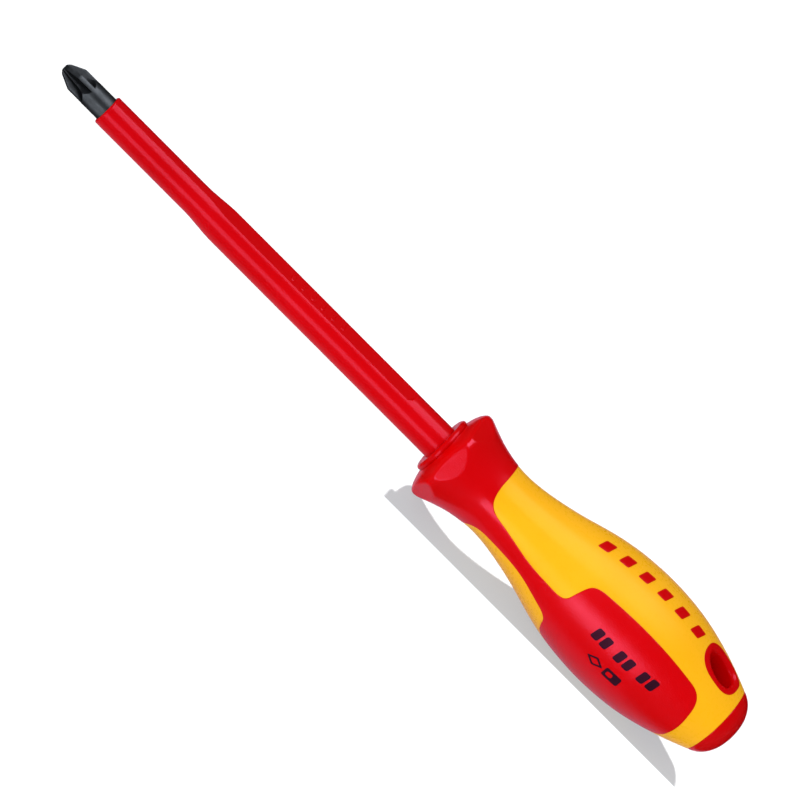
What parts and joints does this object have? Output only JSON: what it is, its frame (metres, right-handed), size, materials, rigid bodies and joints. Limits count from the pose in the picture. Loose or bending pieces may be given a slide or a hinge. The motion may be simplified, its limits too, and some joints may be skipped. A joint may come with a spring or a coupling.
{
  "type": "insulated screwdriver",
  "caption": "Insulated screwdriver: cross-tip steel blade in a long red sleeve, flared guard and a barrel-shaped yellow and red two-material handle with an oval hanging hole through its rear.",
  "frame": {"origin": "centre of the flat end of the tip", "axes": "+X along the blade's axis from the tip to the butt; +Z out of the handle on a side where the hanging hole opens; +Y completes the frame, and the two soft pads face -Y and +Y"},
  "size_m": [0.27, 0.0392, 0.0394],
  "materials": {
    "blade_steel": "blackened, satin",
    "sleeve_red": "satin-gloss moulded",
    "hard_red": "satin moulded",
    "hard_yellow": "satin moulded",
    "soft_red": "fine-grained soft grip",
    "print_black": "thin pad print"
  },
  "bodies": {
    "root": {"blade": "blade_steel", "blade_insulation": "sleeve_red", "handle_core": "hard_red", "handle_shell": "hard_yellow", "soft_grip": "soft_red", "end_cap": "hard_red", "hanging_hole_liner": "hard_red", "upper_inlay_1": "hard_red", "upper_inlay_2": "hard_red", "upper_inlay_3": "hard_red", "upper_inlay_4": "hard_red", "upper_inlay_5": "hard_red", "upper_inlay_6": "hard_red", "lower_inlay_1": "hard_red", "lower_inlay_2": "hard_red", "lower_inlay_3": "hard_red", "lower_inlay_4": "hard_red", "lower_inlay_5": "hard_red", "lower_inlay_6": "hard_red"}
  },
  "joints": []
}
